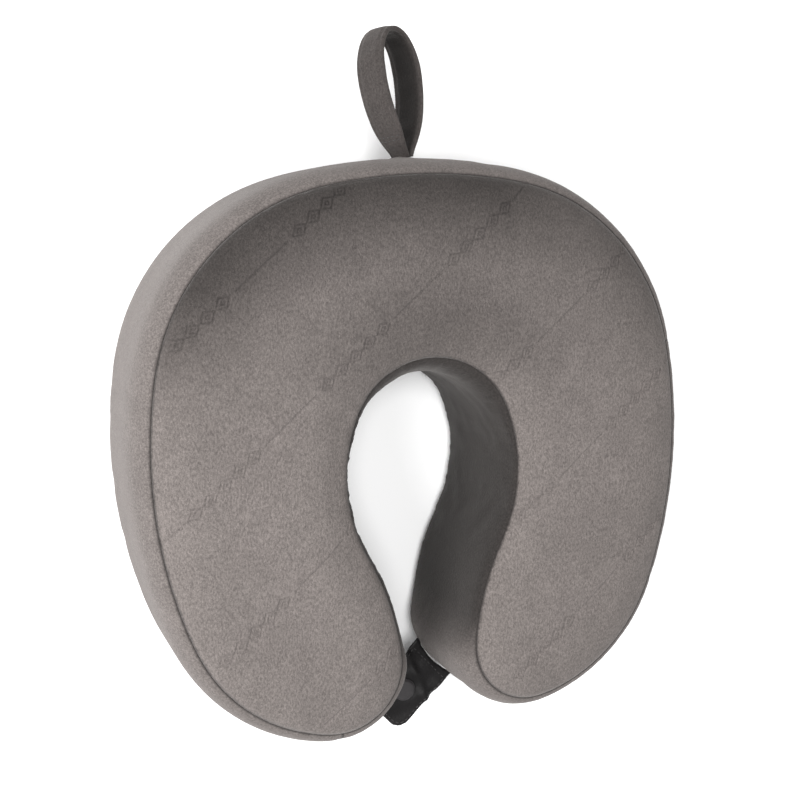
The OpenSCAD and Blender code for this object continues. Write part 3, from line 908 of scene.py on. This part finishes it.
def sew_gusset(piece):
    points = points_of(piece.data)
    place = from_line(points[:, :2], seam)[1]
    depth = unit((front_z - points[:, 2]) / (front_z - back_z))
    # Painted shade: the gusset facing the neck hole is darkened, more towards the back seam; the dark seam
    # lines are added on top
    dark = (INNER_SHADE_FRONT + (INNER_SHADE_BACK - INNER_SHADE_FRONT) * depth) * along_seam(inner_facing, place)
    for down, z in ((-1, front_z), (1, back_z)):
        distance = abs(points[:, 2] - z)
        dark = np.maximum(dark, seam_shade(distance, place))
        points = sew(points, distance, place, down, side=True)
    inward = np.zeros(len(points))
    for i in cross_seams:
        apart = abs((place - i / SEAM_COUNT + 0.5) % 1 - 0.5) * seam_length
        inward += CROSS_GROOVE * np.exp(-(apart / GROOVE_W) ** 2)
        dark = np.maximum(dark, seam_shade(apart, place))
    from_foot = np.hypot(points[:, 0] - loop_foot.x, points[:, 2] - loop_foot.z)
    inward -= LOOP_TENT * np.exp(-(from_foot / LOOP_TENT_R) ** 1.5) * (points[:, 1] > CROWN_Y)
    move_in(points, place, inward)
    set_points(piece.data, points)
    set_nap_and_shade(piece, dark)


# --- Front and back panels --------------------------------
EMBOSS_DEPTH = 0.5 * MM
EMBOSS_CLEAR = 2 * MM
EMBOSS_FADE = 3 * MM
# Painted shade: the colour is darkened in a band under the crown, less so on its right, and a little over
# the whole top
CROWN_START, CROWN_RUN = 40 * MM, 60 * MM
BAND_W = 40 * MM
RIGHT_START, RIGHT_RUN, RIGHT_LESS = 40 * MM, 50 * MM, 0.45
WIDE_RUN = 80 * MM
PRESS_NAP, BAND_SHADE, TOP_SHADE, NAP_MOST = 0.12, 0.66, 0.08, 0.85


def finish_panel(panel, points, nap, material, node):
    """Sets a sewn panel's points and its darkening by nap and painted shade, and turns its edge in."""
    set_points(panel.data, points)
    set_nap_and_shade(panel, nap)
    turn_in(panel, ALLOWANCE)
    settle(panel, "pillow", material, "velour", node)


front = cut_piece("front_panel", form_points, front_faces, 2, join=True)
refine(front, pattern_near, 2)
front_points = points_of(front.data)
front_distance, front_place = from_line(front_points[:, :2], seam)
press = pressed(front_points[:, :2]) * unit((front_distance - EMBOSS_CLEAR) / EMBOSS_FADE)
front_points = sew(front_points, front_distance, front_place, -1, side=False)
front_points[:, 2] -= EMBOSS_DEPTH * press
crown = unit((front_points[:, 1] - CROWN_START) / CROWN_RUN)
crown_shade = crown * np.exp(-(front_distance / BAND_W) ** 1.7)
crown_shade *= 1 - RIGHT_LESS * unit((front_points[:, 0] - RIGHT_START) / RIGHT_RUN)
wide = unit(front_points[:, 1] / WIDE_RUN + 0.2)
# The pressed pattern darkens the pile; the crown band and the top are painted shade
cloudy = PRESS_NAP * press + BAND_SHADE * crown_shade + TOP_SHADE * wide
nap = np.clip(np.maximum(cloudy, seam_shade(front_distance, front_place)), 0, NAP_MOST)
finish_panel(front, front_points, nap, velour_front, "cover_front_panel")

back = cut_piece("back_panel", form_points, back_faces, 2, join=True)
back_points = points_of(back.data)
back_distance, back_place = from_line(back_points[:, :2], seam)
back_points = sew(back_points, back_distance, back_place, 1, side=False)
back_points[:, 2] = np.maximum(back_points[:, 2], 0.0)
finish_panel(back, back_points, seam_shade(back_distance, back_place), velour_plain, "cover_back_panel")

# --- Gussets and zip strips -------------------------------
middle_row = GUSSET_ROWS // 2
HEM = 1.4 * MM
for name, first, last, low, high, node, turn in (
        ("outer_side", left_tip - SEAM_COUNT, zip_first, 0, GUSSET_ROWS, "outer_gusset", ALLOWANCE),
        ("inner_side", zip_last, left_tip, 0, GUSSET_ROWS, "inner_gusset", ALLOWANCE),
        ("zip_side_back", zip_first, zip_last, 0, middle_row - 1, "zip_strip_back", HEM),
        ("zip_side_front", zip_first, zip_last, middle_row + 1, GUSSET_ROWS, "zip_strip_front", HEM)):
    side = side_piece(name, first, last, low, high)
    sew_gusset(side)
    turn_in(side, turn)
    settle(side, "pillow", velour_plain, "velour_gusset", node)

# --- Seam threads -----------------------------------------
THREAD_IN = 1.25 * MM
for name, z, down in (("front_seam_thread", front_z, -1), ("back_seam_thread", back_z, 1)):
    line = np.column_stack([seam - THREAD_IN * seam_normal, np.full(SEAM_COUNT, z + THREAD_IN * down)])
    out = np.column_stack([seam_normal, np.full(SEAM_COUNT, -down)])
    settle(stitches(name.replace("thread", "stitches"), line, out, closed=True), "pillow", thread_dark,
           "thread", name)

# --- Liner and foam, inside the cover ---------------------
LINER_IN = 3.4 * MM
FOAM_IN = 5.0 * MM
inside = mesh_object("inside", form_points, all_faces)
inside_normals = vectors_of(inside.data.vertex_normals, "vector")
half_sides = middle_row * SEAM_COUNT
if np.sum(inside_normals[half_sides, :2] * seam_normal[0]) < 0:
    inside_normals = -inside_normals
bpy.data.objects.remove(inside)
liner_points = form_points - LINER_IN * inside_normals
for name, faces, node in (("liner_front_bowl", front_faces + side_faces[half_sides:], "liner_front"),
                          ("liner_back_bowl", back_faces + side_faces[:half_sides], "liner_back")):
    liner = cut_piece(name, liner_points, faces, 1)
    settle(liner, "pillow", liner_knit, "liner", node)
foam_block = cut_piece("foam_block", form_points - FOAM_IN * inside_normals, all_faces, 1)
settle(foam_block, "pillow", foam_cells, "foam", "foam_core")

# --- Zip --------------------------------------------------
COIL_PITCH = 1.27 * MM
COIL_WIRE = 0.27 * MM
TAPE_RIDGE = 0.05 * MM
TAPE_EDGE = 0.4 * MM
TAPE_STEPS = 120
COIL_STEPS = 12
COIL_MARGIN = 0.003
for number, side_name in enumerate(("back", "front")):
    (r0, r1), (h0, h1), (z0, z1) = polar(f"zip_tape_{side_name}")
    rings = []
    low_edge = [(r0, z0), (r1 - TAPE_RIDGE, z0), (r1, z0 + TAPE_EDGE)]
    high_edge = [(r1, z1 - TAPE_EDGE), (r1 - TAPE_RIDGE, z1), (r0, z1)]
    for h in np.linspace(h0, h1, TAPE_STEPS):
        rings.append(np.array([on_zip(r, h, z) for r, z in low_edge + high_edge]))
    settle(sweep(f"zip_tape_woven_{side_name}", rings), "pillow", tape_cloth, "zip_tape",
           f"zip_tape_{side_name}")
    (r0, r1), (h0, h1), (z0, z1) = polar(f"zip_coil_{side_name}")
    middle_r, half_r, half_z = (r0 + r1) / 2, (r1 - r0) / 2 - COIL_WIRE, (z1 - z0) / 2 - COIL_WIRE
    length = (h1 - h0) * middle_r
    turns = int(length / COIL_PITCH)
    phase = np.linspace(0, 1, turns * COIL_STEPS + 1)
    angle = 2 * np.pi * turns * phase + np.pi * number
    heading = h0 + (h1 - h0) * (COIL_MARGIN + (1 - 2 * COIL_MARGIN) * phase)
    path = [on_zip(middle_r + half_r * math.cos(a), h, (z0 + z1) / 2 + half_z * math.sin(a))
            for a, h in zip(angle, heading)]
    settle(tube(f"zip_teeth_{side_name}", path, COIL_WIRE, 5), "pillow", coil_plastic, "zip_coil",
           f"zip_coil_{side_name}")
for node in ("zip_top_stop", "zip_bottom_stop", "zip_slider", "zip_pull_tab"):
    cover_with(nodes[node], gunmetal)

# --- Hang loop --------------------------------------------
LOOP_T = 2.6 * MM
LOOP_STEPS = 150
LOOP_CLOSE = 0.92
LOOP_PUFF = 0.5 * MM
SWELL_PEAK = 0.8
LOOP_END = 172
FOOT_RUN = 24 * MM
FOOT_APART = 0.55 * LOOP_T
FOOT_NARROWER, FOOT_SHARE = 0.40, 0.16
TOP_NARROWER, TOP_START = 0.14, 0.7
# Each wave of the cloth round the loop: its height, its number of crests and where it starts
CLOTH_WAVES = ((0.4 * MM, 9, 0.8), (0.2 * MM, 17, 2.0))
# The dent along each edge of the loop: its depth, its place and its width, as shares
DENT, DENT_AT, DENT_W = 0.34, 0.74, 0.07
# How dark the loop is drawn: a little on its outside, and painted shade on its inside face
LOOP_NAP_OUT, LOOP_INSIDE_SHADE = 0.05, 0.8
width_axis = np.array(loop_joint["axis"])
loop_lean = math.atan2(width_axis[1], width_axis[0])
length_axis = np.array([-math.sin(loop_lean), math.cos(loop_lean), 0])
open_axis = np.cross(length_axis, width_axis)
foot = np.array(loop_joint["pos_m"]) - LOOP_T * length_axis
loop_nodes = points_of(nodes["hang_loop"].data) - foot
loop_l = (loop_nodes @ length_axis).max() - LOOP_T / 2
loop_half_w = (loop_nodes @ width_axis).max()
loop_open = (loop_nodes @ open_axis).max() - LOOP_T / 2


def drop(a):
    """The loop's middle line: across and up, where a runs from -pi to pi round it."""
    return np.stack([np.sin(a) * np.cos(a / 2) ** SWELL_PEAK, (1 + np.cos(a)) / 2], axis=-1)


turn = np.radians(np.linspace(-LOOP_END, LOOP_END, LOOP_STEPS))
line = drop(turn)
line[:, 0] *= LOOP_CLOSE * loop_open / abs(line[:, 0]).max()
line[:, 1] *= loop_l
near_foot = unit(1 - line[:, 1] / FOOT_RUN) ** 2
line[:, 0] = np.sign(turn) * np.hypot(line[:, 0], FOOT_APART * near_foot)
along = normalised(np.gradient(line, axis=0))
up_share = line[:, 1] / loop_l
narrowing = 1 - FOOT_NARROWER * np.exp(-(up_share / FOOT_SHARE) ** 2)
narrowing -= TOP_NARROWER * unit((up_share - TOP_START) / (1 - TOP_START))
fabric = sum(height * np.sin(crests * turn + start) for height, crests, start in CLOTH_WAVES)
section_w = np.sin(np.linspace(-np.pi / 2, np.pi / 2, 25))
loop_rings, outer_faces = [], []
for (x, y), (ax, ay), narrow, soft in zip(line, along, narrowing, fabric):
    middle = foot + x * open_axis + y * length_axis
    out = ay * open_axis - ax * length_axis
    half = (LOOP_T / 2 + LOOP_PUFF) * np.sqrt(unit(1 - abs(section_w) ** 5))
    half *= 1 - DENT * np.exp(-((abs(section_w) - DENT_AT) / DENT_W) ** 2)
    shift = soft * (1 - section_w ** 2)
    wide = (section_w * loop_half_w * narrow)[:, None] * width_axis
    upper = middle + wide + (half + shift)[:, None] * out
    lower = middle + wide - (half - shift)[:, None] * out
    loop_rings.append(np.vstack([upper, lower[-2:0:-1]]))
    outer_faces.append((lower[4:-4], -out))
loop = sweep("loop_strap", loop_rings)
# Painted shade: the loop's inside face is darkened, less towards its rolled edges
loop_shade_ring = np.full(len(loop_rings[0]), LOOP_NAP_OUT)
loop_shade_ring[:len(section_w)] = LOOP_INSIDE_SHADE * (1 - abs(section_w) ** 4)
set_nap_and_shade(loop, np.tile(loop_shade_ring, LOOP_STEPS))
settle(loop, "hang_loop", velour_loop_shaded, "velour_gusset", "hang_loop")
BARTACK_TURNS = (-132, -127, 127, 132)
for number, angle in enumerate(BARTACK_TURNS):
    row, out = outer_faces[int(np.argmin(abs(turn - math.radians(angle))))]
    settle(stitches(f"loop_bartack_{number}", row, np.tile(out, (len(row), 1))), "hang_loop", thread_tab,
           "thread", *(["hang_loop_bartack"] if number == 0 else []))

# --- Snap tabs --------------------------------------------
TAB_CORNER = 9 * MM
TAB_GRID = 1.3 * MM
STITCH_IN = 2.4 * MM
CREASE = 1.8 * MM
TIP_R = 43.7 * MM
ROOT_REACH = 0.9 * MM
SNAP_CLEAR = 8 * MM
STITCH_DENT, STITCH_DENT_W = 0.22 * MM, 0.5 * MM
STITCH_SINK = 0.05 * MM


def root_edge(v):
    """How far along the strap its root is, so that it follows the round tip of the arm."""
    return -ROOT_REACH - TIP_R + np.sqrt(TIP_R ** 2 - v ** 2)


def round_strip(length, half_w, corner, inset, root=()):
    """A strip's outline, with two round corners at its free end, drawn inset from its edges. It
    closes along the points of its root."""
    arc = np.linspace(0, np.pi / 2, 12)
    r = corner - inset
    top = [(length - corner + r * math.sin(a), half_w - corner + r * math.cos(a)) for a in arc]
    low = [(length - corner + r * math.cos(a), -half_w + corner - r * math.sin(a)) for a in arc]
    return np.array([(inset, half_w - inset), *top, *low, (inset, inset - half_w), *root])


def dense(outline, step):
    out = []
    for a, b in zip(outline, np.roll(outline, -1, 0)):
        count = max(1, int(np.linalg.norm(b - a) / step))
        out += [a + (b - a) * k / count for k in range(count)]
    return np.array(out)


def creases(points, length, half_w, snap):
    """Soft creases across a strap, none at its root or under the snap. They rise more than they
    dip, so that the two straps stay apart."""
    u, v = points[:, 0] / length, points[:, 1] / half_w
    at_snap = np.hypot(*(points - snap).T) / SNAP_CLEAR
    free = (1 - np.exp(-at_snap ** 4)) * unit(u / 0.15)
    fold = 0.9 * np.exp(-((u - 0.30 - 0.12 * v) / 0.05) ** 2)
    fold -= 0.6 * np.exp(-((u - 0.42 + 0.1 * v) / 0.07) ** 2)
    curl = 0.5 * unit((u - 0.75) / 0.25) ** 2 + 0.25 * (1 + np.sin(7 * v + 9 * u))
    return CREASE * free * (fold + curl)


def make_tab(node, joint, body, sign):
    """A strap of two layers with rolled edges, stitched round and lightly creased."""
    root = np.array(joints[joint]["pos_m"])
    axis = np.array(joints[joint]["axis"])
    way = np.array([-axis[1], axis[0], 0])
    local = points_of(nodes[node].data) - root
    length, half_w = (local @ way).max(), abs(local @ axis).max()
    half_t = abs(local[:, 2]).max()
    to_snap = np.array(sum(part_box("snap_cap"), Vector())) / 2 - root
    snap = np.array([to_snap @ way, -to_snap @ axis])
    across = np.linspace(-half_w, half_w, 15)
    root_line = np.column_stack([root_edge(across), across])
    outline = dense(round_strip(length, half_w, TAB_CORNER, 0, root_line), TAB_GRID)
    steps_u = np.arange(root_edge(half_w), length, TAB_GRID)
    steps_v = np.arange(-half_w + TAB_GRID, half_w, TAB_GRID)
    u, v = (g.ravel() for g in np.meshgrid(steps_u, steps_v))
    grid = np.column_stack([u, v])
    grid = grid[grid[:, 0] > root_edge(grid[:, 1])]
    grid = grid[from_line(grid, outline)[0] > 0.8 * TAB_GRID]
    over = (grid[:, 0] > length - TAB_CORNER) & (abs(grid[:, 1]) > half_w - TAB_CORNER)
    out_of = np.hypot(grid[:, 0] - length + TAB_CORNER, abs(grid[:, 1]) - half_w + TAB_CORNER) > TAB_CORNER
    grid = grid[~(over & out_of)]
    ring = np.concatenate([outline, grid])
    edge = len(outline)
    made = delaunay_2d_cdt([Vector(p) for p in ring], [], [list(range(edge))[::-1]], 1, 1e-7)
    source = [ids[0] for ids in made[3]]
    tops = [[source[i] for i in f] for f in made[2]]
    far = from_line(ring, outline)[0]
    half = half_t * np.sqrt(1 - (1 - unit(far / half_t)) ** 2)
    half -= STITCH_DENT * np.exp(-((far - STITCH_IN) / STITCH_DENT_W) ** 2)
    wave = sign * creases(ring, length, half_w, snap)
    place = root + ring[:, :1] * way - ring[:, 1:] * axis
    upper, lower = place.copy(), place.copy()
    upper[:, 2] += half + wave
    lower[:, 2] += wave - half
    merged = np.arange(len(ring)) + len(ring) - edge
    merged[:edge] = np.arange(edge)
    points = np.concatenate([upper, lower[edge:]])
    points[:edge, 2] = place[:edge, 2] + wave[:edge]
    faces = tops + [[int(merged[i]) for i in f[::-1]] for f in tops]
    tab = mesh_object(f"{node}_strap", points, faces)
    face_outward(tab)
    subdivide(tab, 1)
    settle(tab, body, tab_cloth, "tab_velour", node)
    inner = round_strip(length, half_w, TAB_CORNER, STITCH_IN)
    path = dense(inner, TAB_GRID)
    lift = sign * creases(path, length, half_w, snap)
    row = root + path[:, :1] * way - path[:, 1:] * axis
    row[:, 2] += lift + sign * (half_t - STITCH_SINK)
    settle(stitches(f"{node}_stitches", row, np.tile([0, 0, sign], (len(row), 1)), closed=True), body,
           thread_tab, "thread", f"{node}_stitching")


make_tab("right_tab", "right_tab_bend", "right_tab", 1)
make_tab("left_tab", "left_tab_bend", "left_tab", -1)

# --- Snap -------------------------------------------------
LATHE_SIDES = 72


def lathe(name, centre, profile):
    """A turned piece about the vertical through centre. The profile starts and ends on the axis."""
    sides = LATHE_SIDES
    turns = np.arange(sides) * 2 * np.pi / sides
    ring = [np.column_stack([r * np.cos(turns), r * np.sin(turns), np.full(sides, z)]) + centre
            for r, z in profile[1:-1]]
    points = [np.array([[0, 0, profile[0][1]]]) + centre, *ring, np.array([[0, 0, profile[-1][1]]]) + centre]
    faces = ring_faces(1, len(ring), sides)
    last = 1 + len(ring) * sides
    for k in range(sides):
        faces.append([0, 1 + (k + 1) % sides, 1 + k])
        faces.append([last, last - sides + k, last - sides + (k + 1) % sides])
    piece = mesh_object(name, np.concatenate(points), faces)
    face_outward(piece)
    return piece


low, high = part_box("snap_cap")
cap_r, cap_t = (high.x - low.x) / 2, high.z - low.z
arc = np.linspace(0, np.pi / 2, 9)
rim = [(cap_r - 0.5 * MM * (1 - math.cos(a)), 0.3 * cap_t + 0.25 * cap_t * math.sin(a)) for a in arc]
dish = [(cap_r * f, cap_t * h) for f, h in ((0.90, 0.62), (0.86, 0.80), (0.80, 0.91), (0.68, 0.97),
                                             (0.50, 0.99), (0.25, 1.0))]
cap_centre = np.array([(low.x + high.x) / 2, (low.y + high.y) / 2, low.z])
cap = lathe("snap_cap_dome", cap_centre, [(0, 0), (cap_r - 0.25 * MM, 0), (cap_r, 0.12 * cap_t),
                                          *rim, *dish, (0, cap_t)])
settle(cap, "right_tab", snap_plastic, "snap_plastic", "snap_cap")
for node in ("snap_socket", "snap_stud", "snap_back_post"):
    cover_with(nodes[node], snap_plastic)
